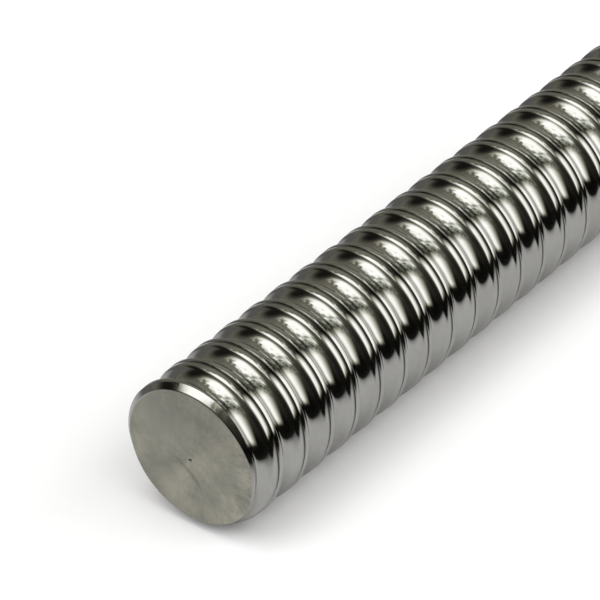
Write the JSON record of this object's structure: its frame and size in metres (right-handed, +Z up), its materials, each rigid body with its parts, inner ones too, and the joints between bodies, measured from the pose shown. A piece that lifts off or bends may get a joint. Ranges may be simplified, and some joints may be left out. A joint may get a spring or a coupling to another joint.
{
  "type": "ball screw shaft",
  "caption": "Steel ball screw shaft with a rolled left-hand helical ball track and chamfered flat ends, lying on its side",
  "frame": {"origin": "on the surface the bar lies on, under the middle of its length", "axes": "+X along the bar's axis, away from the marked end face; +Z up; +Y across the bar"},
  "size_m": [0.1, 0.02, 0.02],
  "materials": {
    "rolled_steel": "polished track, ground end faces"
  },
  "bodies": {
    "root": {"screw_shaft": "rolled_steel"}
  },
  "joints": []
}
